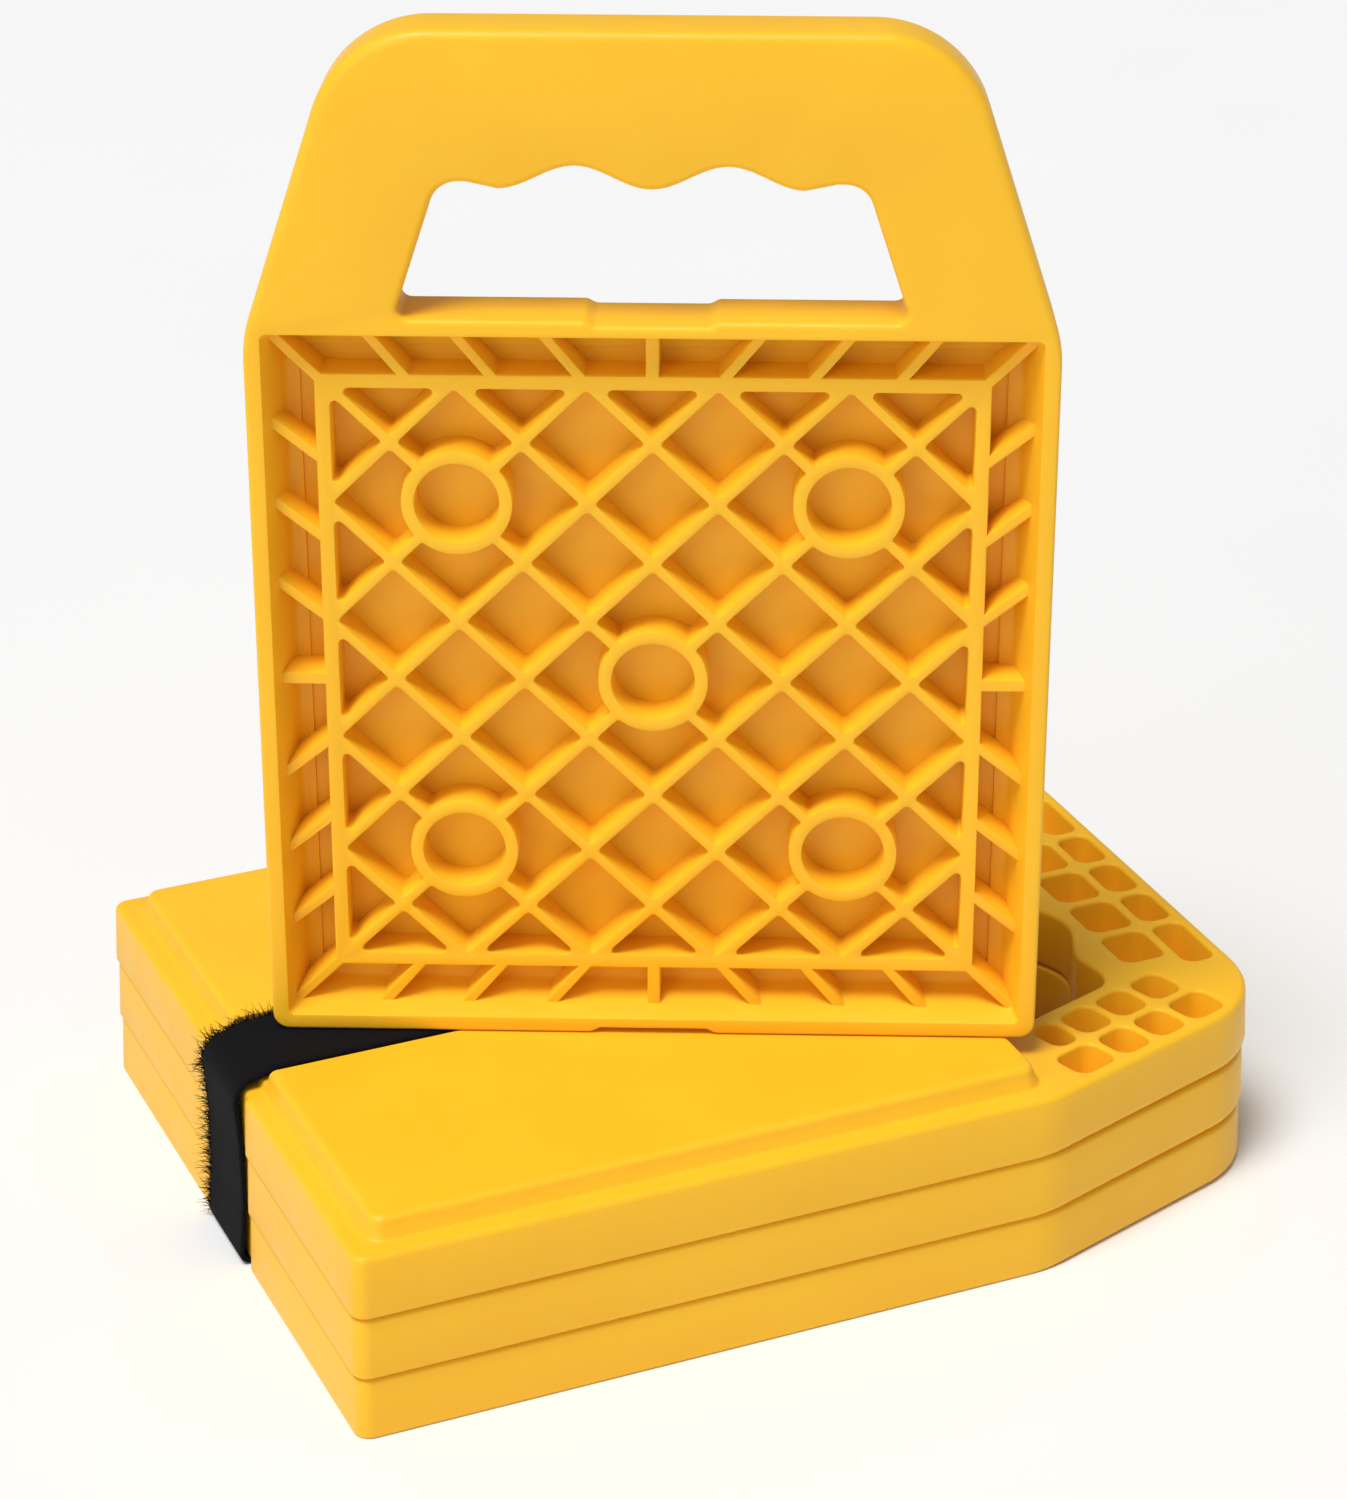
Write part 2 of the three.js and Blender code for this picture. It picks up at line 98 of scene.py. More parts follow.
# Rows over the grip: spans to one side of the middle, near edge, far edge.
POCKET_ROWS = (
    ([(-8.9, 8.9), (12.4, 30), (33.5, 58)], 182.5, TIP_Y - 4.7),
    ([(-8.9, 8.9), (12.4, 30), (33.5, 51)], 164.3, 179.3),
)
# Columns down each arm: near edge and far edge from the hole, spans up the arm.
POCKET_COLUMNS = (
    (4.7, 17.6, [(2, 11), (14, 26.5), (29.5, 42), (45, 57)]),
    (20.8, 33.5, [(-4, 11), (14, 26.5), (29.5, 42), (45, 59.5)]),
)
SIDE_DRAFT = 0.7
RIM_RADIUS = 1.0
HANDLE_RADIUS = 3.2
HANDLE_BLEND_START = HALF - 14
HANDLE_BLEND = 20
NOTCH_MOUTH_HALF = 37.2 / 2
NOTCH_FLAT_HALF = 32 / 2
NOTCH_DEPTH = 1.4
NOTCH_RADIUS = 3
CHANNEL_HALF = 17.0
CHANNEL_DEPTH = 2.0
RELIEF_DEPTH = 2.2

# ---- The stack and the standing block ----
STACK_YAW = math.radians(25)
NEST_PITCH = 20.3
STACK_TOP = 2 * NEST_PITCH + PLATE_TOP


# ---- Plan outlines ----

def filleted(corners):
    """Each corner is (x, y, radius, steps); a radius of 0 keeps it sharp."""
    out = []
    count = len(corners)
    for i, (x, y, radius, steps) in enumerate(corners):
        here = Vector((x, y))
        if not radius:
            out.append(here)
            continue
        before = Vector(corners[i - 1][:2])
        after = Vector(corners[(i + 1) % count][:2])
        a = (before - here).normalized()
        b = (after - here).normalized()
        half = math.acos(max(-1, min(1, a.dot(b)))) / 2
        centre = here + (a + b).normalized() * (radius / math.sin(half))
        start = here + a * (radius / math.tan(half)) - centre
        end = here + b * (radius / math.tan(half)) - centre
        turn = math.atan2(start.x * end.y - start.y * end.x, start.dot(end))
        for k in range(steps + 1):
            c, s = math.cos(turn * k / steps), math.sin(turn * k / steps)
            out.append(centre + Vector((start.x * c - start.y * s, start.x * s + start.y * c)))
    return out


def notch_corners(y, inward):
    """The shallow notch in the middle of an end, where the strap lies."""
    points = [(-NOTCH_MOUTH_HALF, 0), (-NOTCH_FLAT_HALF, NOTCH_DEPTH),
              (NOTCH_FLAT_HALF, NOTCH_DEPTH), (NOTCH_MOUTH_HALF, 0)]
    return [(x, y + inward * depth, NOTCH_RADIUS, 4) for x, depth in points]


def block_outline():
    """Pad and handle in one outline, counter-clockwise."""
    tip = HALF - (TIP_Y - SHOULDER_Y) * LEAN
    return filleted([
        (-HALF, -HALF, PAD_CORNER, 8),
        *notch_corners(-HALF, 1),
        (HALF, -HALF, PAD_CORNER, 8),
        (HALF, SHOULDER_Y, SHOULDER_RADIUS, 12),
        (tip, TIP_Y, TIP_RADIUS, 26),
        (-tip, TIP_Y, TIP_RADIUS, 26),
        (-HALF, SHOULDER_Y, SHOULDER_RADIUS, 12),
    ])


def hand_hole():
    """The hole in the handle, with finger waves along the grip."""
    top = HOLE_FOOT_HALF - (HOLE_TOP_Y - HALF) * LEAN
    steps = 60
    grip = []
    for k in range(steps + 1):
        x = GRIP_PITCH - 2 * GRIP_PITCH * k / steps
        grip.append((x, GRIP_Y + GRIP_WAVE / 2 * (1 - math.cos(2 * math.pi * x / GRIP_PITCH)), 0, 0))
    return filleted([
        (-HOLE_FOOT_HALF, HALF, NOTCH_RADIUS, 6),
        *notch_corners(HALF, -1),
        (HOLE_FOOT_HALF, HALF, NOTCH_RADIUS, 6),
        (top, HOLE_TOP_Y, HOLE_CORNER, 10),
        (GRIP_END, HOLE_TOP_Y, 0, 0),
        *grip,
        (-GRIP_END, HOLE_TOP_Y, 0, 0),
        (-top, HOLE_TOP_Y, HOLE_CORNER, 10),
    ])


def square_loop(half, radius, steps=6):
    return filleted([(-half, -half, radius, steps), (half, -half, radius, steps),
                     (half, half, radius, steps), (-half, half, radius, steps)])


def circle_loop(x, y, radius, steps=64):
    turns = [2 * math.pi * k / steps for k in range(steps)]
    return [Vector((x + radius * math.cos(turn), y + radius * math.sin(turn))) for turn in turns]


def pocket_loops():
    """The pockets cored into the handle's top: two rows over the grip, two columns down each arm."""
    def rounded(corners):
        return filleted([(x, y, POCKET_CORNER, 7) for x, y in corners])

    loops = []
    for spans, y0, y1 in POCKET_ROWS:
        for a, b in spans:
            for x0, x1 in {(a, b), (-b, -a)}:
                loops.append(rounded([(x0, y0), (x1, y0), (x1, y1), (x0, y1)]))
    along = Vector((-math.sin(SLOPE), math.cos(SLOPE)))
    across = Vector((math.cos(SLOPE), math.sin(SLOPE)))
    for t0, t1, spans in POCKET_COLUMNS:
        for s0, s1 in spans:
            quad = [Vector((HOLE_FOOT_HALF, HALF)) + along * s + across * t
                    for s, t in ((s0, t0), (s0, t1), (s1, t1), (s1, t0))]
            loops.append(rounded([(p.x, p.y) for p in quad]))
            loops.append(rounded([(-p.x, p.y) for p in reversed(quad)]))
    return loops


def clipped(polygon, a, b, limit):
    """The part of a polygon where a*x + b*y <= limit."""
    out = []
    for i, here in enumerate(polygon):
        before = polygon[i - 1]
        d0 = a * before.x + b * before.y - limit
        d1 = a * here.x + b * here.y - limit
        if (d0 <= 0) != (d1 <= 0):
            out.append(before.lerp(here, d0 / (d0 - d1)))
        if d1 <= 0:
            out.append(here)
    return out


def boss_cut(polygon, centre, radius, step=math.radians(6)):
    """A convex polygon with a disc taken out of one of its corners."""
    inside = [(p - centre).length < radius for p in polygon]
    if not any(inside):
        return polygon

    def crossing(p, q):
        d = q - p
        f = p - centre
        a, b, c = d.dot(d), 2 * f.dot(d), f.dot(f) - radius * radius
        root = math.sqrt(max(b * b - 4 * a * c, 0))
        for t in ((-b - root) / (2 * a), (-b + root) / (2 * a)):
            if 0 <= t <= 1:
                return p + d * t
        return p

    out = []
    count = len(polygon)
    for i, here in enumerate(polygon):
        after = polygon[(i + 1) % count]
        if not inside[i]:
            out.append(here)
        if not inside[i] and inside[(i + 1) % count]:
            enter = crossing(here, after)
            j = (i + 1) % count
            while inside[j]:
                j = (j + 1) % count
            leave = crossing(polygon[j - 1], polygon[j])
            a0 = math.atan2(*(enter - centre).yx)
            turn = math.atan2(*(leave - centre).yx) - a0
            turn = (turn + math.pi) % (2 * math.pi) - math.pi
            n = max(2, round(abs(turn) / step))
            out += [centre + Vector((math.cos(a0 + turn * k / n), math.sin(a0 + turn * k / n))) * radius
                    for k in range(n + 1)]
    return out


def softened(polygon, radius, steps=3):
    """Rounds the real corners of a polygon and leaves its arcs alone."""
    shortest_edge, least_turn = 0.4, math.radians(20)
    polygon = [p for i, p in enumerate(polygon) if (p - polygon[i - 1]).length > shortest_edge]
    corners = []
    count = len(polygon)
    for i, here in enumerate(polygon):
        a = here - polygon[i - 1]
        b = polygon[(i + 1) % count] - here
        turn = abs(a.angle(b)) if a.length > 1e-6 and b.length > 1e-6 else 0
        reach = min(a.length, b.length) * 0.45
        r = min(radius, reach / math.tan(turn / 2)) if turn > least_turn else 0
        corners.append((here.x, here.y, r, steps))
    return filleted(corners)


def area_of(polygon):
    """Signed area, positive when counter-clockwise."""
    return sum(p.x * q.y - p.y * q.x for p, q in zip(polygon, polygon[1:] + polygon[:1])) / 2


def boss_centres():
    """The five round cups: one in the middle and four towards the corners."""
    reach = 3 * HALF_PITCH
    return [Vector(c) for c in ((0, 0), (reach, reach), (-reach, reach), (reach, -reach), (-reach, -reach))]


def lattice_cells():
    """Every hollow between the diagonal ribs, and the insides of the round cups."""
    inner = RING_HALF - RING_WIDTH / 2
    lines = [2 * m * HALF_PITCH for m in range(-4, 5)]
    edges = [-math.inf, *lines, math.inf]
    margin = RIB / 2 * math.sqrt(2)
    square = [Vector(c) for c in ((-inner, -inner), (inner, -inner), (inner, inner), (-inner, inner))]
    cells = []
    for lo_sum, hi_sum in zip(edges, edges[1:]):
        for lo_dif, hi_dif in zip(edges, edges[1:]):
            cell = square
            for a, b, limit in ((1, 1, hi_sum - margin), (-1, -1, -lo_sum - margin),
                                (1, -1, hi_dif - margin), (-1, 1, -lo_dif - margin)):
                if math.isfinite(limit) and cell:
                    cell = clipped(cell, a, b, limit)
            if len(cell) < 3 or area_of(cell) < SMALLEST_CELL:
                continue
            for centre in boss_centres():
                cell = boss_cut(cell, centre, BOSS_OUTER)
            cells.append(softened(cell, CELL_CORNER))
    return cells + [circle_loop(c.x, c.y, BOSS_INNER) for c in boss_centres()]


# ---- Solids from outlines ----

def inset(loop, distance):
    """A counter-clockwise loop moved inwards, point for point."""
    out = []
    count = len(loop)
    for i, here in enumerate(loop):
        a = (here - loop[i - 1]).normalized()
        b = (loop[(i + 1) % count] - here).normalized()
        na, nb = Vector((-a.y, a.x)), Vector((-b.y, b.x))
        mean = (na + nb).normalized()
        out.append(here + mean * (distance / max(mean.dot(nb), 0.4)))
    return out


def turned_outwards(mesh):
    """The same closed mesh with every face's normal outwards."""
    work = bmesh.new()
    work.from_mesh(mesh)
    bmesh.ops.recalc_face_normals(work, faces=work.faces)
    work.to_mesh(mesh)
    work.free()
    return mesh


class Surface:
    """Collects rings and caps of one closed surface."""

    def __init__(self):
        self.points = []
        self.faces = []
        self.flat = []

    def ring(self, loop, z):
        """z is one height, or a height for each point."""
        start = len(self.points)
        heights = z if isinstance(z, list) else [z] * len(loop)
        self.points += [(p.x, p.y, h) for p, h in zip(loop, heights)]
        return list(range(start, start + len(loop)))

    def rings(self, loops_and_heights):
        """Joins the rings in turn and returns the first and the last."""
        made = [self.ring(loop, z) for loop, z in loops_and_heights]
        for low, high in zip(made, made[1:]):
            for i in range(len(low)):
                j = (i + 1) % len(low)
                self.faces.append((low[i], low[j], high[j], high[i]))
                self.flat.append(False)
        return made[0], made[-1]

    def closed(self, loops_and_heights):
        """Rings with a cap at each end."""
        low, high = self.rings(loops_and_heights)
        self.cap(low)
        self.cap(high)
        return self

    def cap(self, *rings):
        """Fills the first ring with flat faces, leaving the other rings open as holes."""
        order = [i for ring in rings for i in ring]
        flat = [Vector(self.points[i][:2]) for i in order]
        edges = []
        for ring in rings:
            start = len(edges)
            edges += [(start + k, start + (k + 1) % len(ring)) for k in range(len(ring))]
        _, _, triangles, sources, _, _ = delaunay_2d_cdt(flat, edges, [], 0, 1e-7)
        a = np.array([flat[i] for i, _ in edges])
        b = np.array([flat[j] for _, j in edges])
        for triangle in triangles:
            corners = [sources[k][0] for k in triangle]
            x, y = sum((flat[k] for k in corners), Vector((0, 0))) / 3
            spans = (a[:, 1] > y) != (b[:, 1] > y)
            foot, tip = a[spans], b[spans]
            crossed = foot[:, 0] + (y - foot[:, 1]) * (tip[:, 0] - foot[:, 0]) / (tip[:, 1] - foot[:, 1])
            if np.count_nonzero(crossed > x) % 2:
                self.faces.append(tuple(order[k] for k in corners))
                self.flat.append(True)

    def mesh(self, name):
        mesh = bpy.data.meshes.new(name)
        mesh.from_pydata([tuple(c * MM for c in p) for p in self.points], [], self.faces)
        mesh.polygons.foreach_set("use_smooth", [not f for f in self.flat])
        return turned_outwards(mesh)


def quarter(radius, z, side, steps=4):
    """(inset, z) pairs of a rounded edge. side is 1 for an upper edge and -1 for a lower one."""
    pairs = []
    for k in range(steps + 1):
        t = math.pi / 2 * k / steps
        pairs.append((radius * (1 - math.cos(t)), z - side * radius * (1 - math.sin(t))))
    return pairs


def body_surface():
    """Rim, handle, hand hole, pockets and the recess that takes the next block's plate."""
    surface = Surface()
    outline = block_outline()
    inwards = [b - a for a, b in zip(outline, inset(outline, 1.0))]
    shares = [max(0, min(1, (p.y - HANDLE_BLEND_START) / HANDLE_BLEND)) for p in outline]
    radii = [RIM_RADIUS + (HANDLE_RADIUS - RIM_RADIUS) * share for share in shares]
    edge = []
    for d, z in reversed(quarter(1.0, 0, -1)):
        loop = [p + n * (d * r) for p, n, r in zip(outline, inwards, radii)]
        edge.append((loop, [z * r for r in radii]))
    edge += [(inset(outline, d + SIDE_DRAFT), z) for d, z in quarter(2.0, LEDGE, 1)]
    low, high = surface.rings(edge)
    hole = hand_hole()
    edge = list(reversed(quarter(2.0, 0, -1))) + quarter(1.6, LEDGE, 1)
    hole_low, hole_high = surface.rings([(inset(hole, -d), z) for d, z in edge])
    pockets = []
    for loop in pocket_loops():
        walls = [(-d, z) for d, z in reversed(quarter(1.15, LEDGE, 1))]
        walls += [(0.9, POCKET_FLOOR + 1.8), (1.2, POCKET_FLOOR + 0.7),
                  (1.9, POCKET_FLOOR + 0.1), (2.6, POCKET_FLOOR)]
        top, floor = surface.rings([(inset(loop, d), z) for d, z in walls])
        surface.cap(floor)
        pockets.append(top)
    # Half width, corner radius and z, from the mouth to the deep floor.
    nest = [(MOUTH_HALF + 0.8, 2.2, 0), (MOUTH_HALF + 0.25, 2.0, 0.12), (MOUTH_HALF, 1.8, 0.6),
            (NEST_TOP_HALF + 0.3, 1.6, LEDGE_FLOOR - 1.2), (NEST_TOP_HALF - 0.3, 1.5, LEDGE_FLOOR - 0.3),
            (NEST_TOP_HALF - 1.2, 1.3, LEDGE_FLOOR), (DEEP_HALF + 0.6, 1.3, LEDGE_FLOOR),
            (DEEP_HALF + 0.15, 1.2, LEDGE_FLOOR + 0.15), (DEEP_HALF, 1.2, LEDGE_FLOOR + 0.6),
            (DEEP_HALF - 0.2, 1.2, DEEP_FLOOR - 0.8), (DEEP_HALF - 1, 1.2, DEEP_FLOOR)]
    nest_low, nest_high = surface.rings([(square_loop(half, r), z) for half, r, z in nest])
    surface.cap(nest_high)
    surface.cap(low, hole_low, nest_low)
    surface.cap(high, hole_high, *pockets)
    return surface


def plate_surface():
    """The raised plate, tapered and rounded, with a small cove at its foot."""
    loop = square_loop(PLATE_HALF, PLATE_CORNER, 8)
    edge = [(-1.2, LEDGE - 2), (-1.2, LEDGE - 0.02), (-0.55, LEDGE + 0.18), (-0.1, LEDGE + 0.7)]
    side = PLATE_TAPER / (PLATE_TOP - LEDGE)
    base = PLATE_TOP - PLATE_EDGE
    edge += [(side * (base - LEDGE) + d, z) for d, z in quarter(PLATE_EDGE, PLATE_TOP, 1, 6)]
    return Surface().closed([(inset(loop, d), z) for d, z in edge])


def rib_walls(side):
    """(inset, z) from a rib's foot to the floors. side is 1 for an outer wall, -1 for a cell's wall."""
    edge = [(0.5, RIB_FOOT), (0.15, RIB_FOOT + 0.15), (0, RIB_FOOT + 0.5), (-0.25, DEEP_FLOOR - 1.1),
            (-0.38, DEEP_FLOOR - 0.4), (-0.62, DEEP_FLOOR), (-0.62, DEEP_FLOOR + 1.2)]
    return [(side * d, z) for d, z in edge]


def lattice_surface():
    """The square ring with the ribs and cups inside it."""
    surface = Surface()
    loop = square_loop(RING_HALF + RING_WIDTH / 2, 1.2)
    low, high = surface.rings([(inset(loop, d), z) for d, z in rib_walls(1)])
    lows, highs = [low], [high]
    for cell in lattice_cells():
        low, high = surface.rings([(inset(cell, d), z) for d, z in rib_walls(-1)])
        lows.append(low)
        highs.append(high)
    surface.cap(*lows)
    surface.cap(*highs)
    return surface


def bar_surface(a, b, thickness, z0, z1):
    """A drafted bar between two points in plan, with a rounded foot."""
    along = (b - a).normalized()
    across = Vector((-along.y, along.x)) * (thickness / 2)
    loop = [a - across, b - across, b + across, a + across]
    walls = [(0.5, z0), (0.15, z0 + 0.15), (0, z0 + 0.5), (-0.25, z1)]
    return Surface().closed([(inset(loop, d), z) for d, z in walls])


def trough_bars():
    """Short ribs from the ring out to the rim wall, deeper where the floor is deeper."""
    inner, outer, step = RING_HALF, HALF - 5.8, DEEP_HALF + 1
    ends = [((0, inner), (0, 1), CENTRE_RIB), ((inner, inner), (1, 1), RIB)]
    for x in TROUGH_RIB_FEET:
        ends += [((x, inner), (TROUGH_RIB_SLANT, 1), RIB), ((-x, inner), (-TROUGH_RIB_SLANT, 1), RIB)]
    bars = []
    for quarter_turn in range(4):
        turn = Matrix.Rotation(quarter_turn * math.pi / 2, 2)
        for foot, direction, thickness in ends:
            start, way = Vector(foot), Vector(direction)
            a, b, c = (turn @ (start + way * reach) for reach in (0, outer - inner, step - inner))
            bars.append(bar_surface(a, b, thickness, RIB_FOOT, LEDGE_FLOOR + 1.5))
            bars.append(bar_surface(a, c, thickness - 0.3, LEDGE_FLOOR + 0.5, DEEP_FLOOR + 1.2))
    return bars


def box_surface(x0, x1, y0, y1, z0, z1):
    loop = [Vector(c) for c in ((x0, y0), (x1, y0), (x1, y1), (x0, y1))]
    return Surface().closed([(loop, z0), (loop, z1)])


def pin_marks():
    """Faint round marks left by the ejector pins on the floor of each whole cell."""
    marks = []
    for i in range(-4, 5):
        for j in range(-4, 5):
            centre = Vector((i, j)) * HALF_PITCH
            near_boss = any((centre - boss).length < BOSS_OUTER + 8 for boss in boss_centres())
            if (i + j) % 2 and not near_boss:
                loop = circle_loop(centre.x, centre.y, PIN_RADIUS, 28)
                marks.append(Surface().closed([(loop, DEEP_FLOOR - PIN_HEIGHT), (loop, DEEP_FLOOR + 1)]))
    return marks


def groove_surface():
    """The strap's groove along the plate, ramped down at both ends."""
    foot, bottom = PLATE_HALF + 2, PLATE_TOP - CHANNEL_DEPTH
    stations = [(-foot, LEDGE + 1), (-DEEP_HALF, bottom), (DEEP_HALF, bottom), (foot, LEDGE + 1)]
    surface = Surface()
    for y, z in stations:
        surface.points += [(-CHANNEL_HALF, y, z), (CHANNEL_HALF, y, z),
                           (CHANNEL_HALF, y, PLATE_TOP + 1), (-CHANNEL_HALF, y, PLATE_TOP + 1)]
    for k in range(len(stations) - 1):
        for i in range(4):
            j = (i + 1) % 4
            surface.faces.append((4 * k + i, 4 * k + j, 4 * k + 4 + j, 4 * k + 4 + i))
            surface.flat.append(True)
    last = 4 * (len(stations) - 1)
    surface.faces += [(0, 1, 2, 3), (last, last + 1, last + 2, last + 3)]
    surface.flat += [True, True]
    return surface


def combined(name, base, additions, cuts):
    """One closed mesh: base plus the additions, less the cuts."""
    body = bpy.data.objects.new(name, base.mesh(name))
    bpy.context.collection.objects.link(body)
    tools = []
    for operation, parts in (("UNION", additions), ("DIFFERENCE", cuts)):
        for i, part in enumerate(parts):
            tool = bpy.data.objects.new(f"tool_{i}", part.mesh(f"tool_{i}"))
            bpy.context.collection.objects.link(tool)
            tools.append(tool)
            modifier = body.modifiers.new(f"{operation}_{i}", "BOOLEAN")
            modifier.operation = operation
            modifier.solver = "MANIFOLD"
            modifier.object = tool
    bpy.context.view_layer.update()
    evaluated = body.evaluated_get(bpy.context.evaluated_depsgraph_get())
    mesh = bpy.data.meshes.new_from_object(evaluated)
    bpy.data.objects.remove(body)
    for tool in tools:
        bpy.data.objects.remove(tool)
    return mesh


def block_mesh(name, relieved):
    """relieved adds the reliefs that let the strap pass under the two end rims."""
    cuts = [groove_surface()]
    if relieved:
        for y in (-HALF - 1, HALF - 12):
            cuts.append(box_surface(-CHANNEL_HALF, CHANNEL_HALF, y, y + 13, -1, RELIEF_DEPTH))
    additions = [plate_surface(), lattice_surface(), *trough_bars(), *pin_marks()]
    mesh = combined(name, body_surface(), additions, cuts)
    mesh.set_sharp_from_angle(angle=math.radians(38))
    mesh.name = name
    return mesh


# ---- Placing the blocks where the CAD has them ----

def block_place(node, turn):
    """The block's drawing frame in the scene, from the CAD node and the block's turn."""
    points = [turn.transposed() @ v.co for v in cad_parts[node].data.vertices]
    low = Vector([min(p[i] for p in points) for i in range(3)])
    high = Vector([max(p[i] for p in points) for i in range(3)])
    origin = turn @ Vector(((low.x + high.x) / 2, low.y + HALF * MM, low.z))
    return Matrix.Translation(origin) @ turn.to_4x4()


def add_piece(name, mesh, material, body, slot, *nodes):
    piece = bpy.data.objects.new(name, mesh)
    bpy.context.collection.objects.link(piece)
    mesh.materials.clear()
    mesh.materials.append(material)
    if body:
        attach(piece, body)
    if nodes:
        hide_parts(*nodes)
    return piece


# ---- Materials ----

def new_material(name):
    material = bpy.data.materials.new(name)
    material.use_nodes = True
    nodes = material.node_tree.nodes
    return material, nodes, material.node_tree.links, nodes["Principled BSDF"]


def noise_node(nodes, links, vector, scale, detail=3.0):
    node = nodes.new("ShaderNodeTexNoise")
    node.inputs["Scale"].default_value = scale
    node.inputs["Detail"].default_value = detail
    links.new(vector, node.inputs["Vector"])
    return node.outputs["Fac"]


def mapped(nodes, links, value, low, high):
    """The middle of a noise's range, spread from low to high."""
    node = nodes.new("ShaderNodeMapRange")
    for socket, number in (("From Min", 0.3), ("From Max", 0.7), ("To Min", low), ("To Max", high)):
        node.inputs[socket].default_value = number
    links.new(value, node.inputs["Value"])
    return node.outputs["Result"]


def tinted(nodes, links, shader, factor, first, second):
    """Base colour that runs between two linear colours."""
    tint = nodes.new("ShaderNodeMix")
    tint.data_type = "RGBA"
    tint.inputs["A"].default_value = first
    tint.inputs["B"].default_value = second
    links.new(mapped(nodes, links, factor, 0, 1), tint.inputs["Factor"])
    links.new(tint.outputs["Result"], shader.inputs["Base Color"])


def bump_chain(nodes, links, shader, layers):
    """layers are (height socket, distance in metres, strength)."""
    normal = None
    for height, distance, strength in layers:
        node = nodes.new("ShaderNodeBump")
        node.inputs["Distance"].default_value = distance
        node.inputs["Strength"].default_value = strength
        links.new(height, node.inputs["Height"])
        if normal is not None:
            links.new(normal, node.inputs["Normal"])
        normal = node.outputs["Normal"]
    links.new(normal, shader.inputs["Normal"])


def plastic_material():
    """Moulded yellow polyethylene: satin, slightly waxy, with a fine grain and soft sink marks."""
    material, nodes, links, shader = new_material("yellow_plastic")
    place = nodes.new("ShaderNodeTexCoord").outputs["Object"]
    tinted(nodes, links, shader, noise_node(nodes, links, place, 26),
           (0.95, 0.505, 0.018, 1), (0.965, 0.535, 0.021, 1))
    rough = mapped(nodes, links, noise_node(nodes, links, place, 90, 5), 0.36, 0.47)
    links.new(rough, shader.inputs["Roughness"])
    shader.inputs["IOR"].default_value = 1.5
    shader.inputs["Specular IOR Level"].default_value = 0.3
    shader.inputs["Subsurface Weight"].default_value = 0.12
    shader.inputs["Subsurface Radius"].default_value = (1.0, 0.45, 0.08)
    shader.inputs["Subsurface Scale"].default_value = 0.0025
    bump_chain(nodes, links, shader, [
        (noise_node(nodes, links, place, 14, 1), 0.0012, 0.12),
        (noise_node(nodes, links, place, 1500, 2), 0.0001, 0.16),
    ])
    return material


def webbing_material(name, dark, light, weave_scale, sheen):
    """Black woven tape: a fine cross weave over a brushed, matte pile."""
    material, nodes, links, shader = new_material(name)
    place = nodes.new("ShaderNodeTexCoord").outputs["UV"]
    heights = []
    for direction in ("X", "Y"):
        wave = nodes.new("ShaderNodeTexWave")
        wave.bands_direction = direction
        wave.inputs["Scale"].default_value = weave_scale
        wave.inputs["Distortion"].default_value = 1.2
        wave.inputs["Detail Scale"].default_value = 2.0
        links.new(place, wave.inputs["Vector"])
        heights.append(wave.outputs["Fac"])
    weave = nodes.new("ShaderNodeMath")
    weave.operation = "MULTIPLY"
    links.new(heights[0], weave.inputs[0])
    links.new(heights[1], weave.inputs[1])
    pile = noise_node(nodes, links, place, weave_scale * 3, 6)
    tinted(nodes, links, shader, pile, dark, light)
    links.new(mapped(nodes, links, pile, 0.8, 0.97), shader.inputs["Roughness"])
    shader.inputs["Specular IOR Level"].default_value = 0.06
    shader.inputs["Sheen Weight"].default_value = sheen
    shader.inputs["Sheen Roughness"].default_value = 0.5
    bump_chain(nodes, links, shader, [(weave.outputs["Value"], 0.0004, 0.5), (pile, 0.0005, 0.6)])
    return material


def ring_material():
    """Smooth black moulded plastic with a faint orange-peel surface."""
    material, nodes, links, shader = new_material("black_plastic")
    place = nodes.new("ShaderNodeTexCoord").outputs["Object"]
    tinted(nodes, links, shader, noise_node(nodes, links, place, 300),
           (0.012, 0.012, 0.014, 1), (0.022, 0.022, 0.025, 1))
    rough = mapped(nodes, links, noise_node(nodes, links, place, 700), 0.22, 0.34)
    links.new(rough, shader.inputs["Roughness"])
    bump_chain(nodes, links, shader, [(noise_node(nodes, links, place, 900), 0.0001, 0.2)])
    return material


def floor_material():
    """Matte, nearly white studio floor."""
    material, nodes, links, shader = new_material("pale_floor")
    place = nodes.new("ShaderNodeTexCoord").outputs["Object"]
    tinted(nodes, links, shader, noise_node(nodes, links, place, 3),
           (0.84, 0.84, 0.84, 1), (0.86, 0.86, 0.86, 1))
    shader.inputs["Roughness"].default_value = 0.9
    shader.inputs["Specular IOR Level"].default_value = 0.1
    return material


PLASTIC = plastic_material()
WEBBING = webbing_material("loop_webbing", (0.0022, 0.0022, 0.003, 1), (0.008, 0.008, 0.010, 1), 0.9, 0.02)
HOOK = webbing_material("hook_tape", (0.008, 0.008, 0.009, 1), (0.03, 0.03, 0.032, 1), 1.6, 0.1)
THREAD = webbing_material("sewing_thread", (0.02, 0.02, 0.021, 1), (0.05, 0.05, 0.052, 1), 2.4, 0.3)
RING = ring_material()

# ---- The four blocks ----

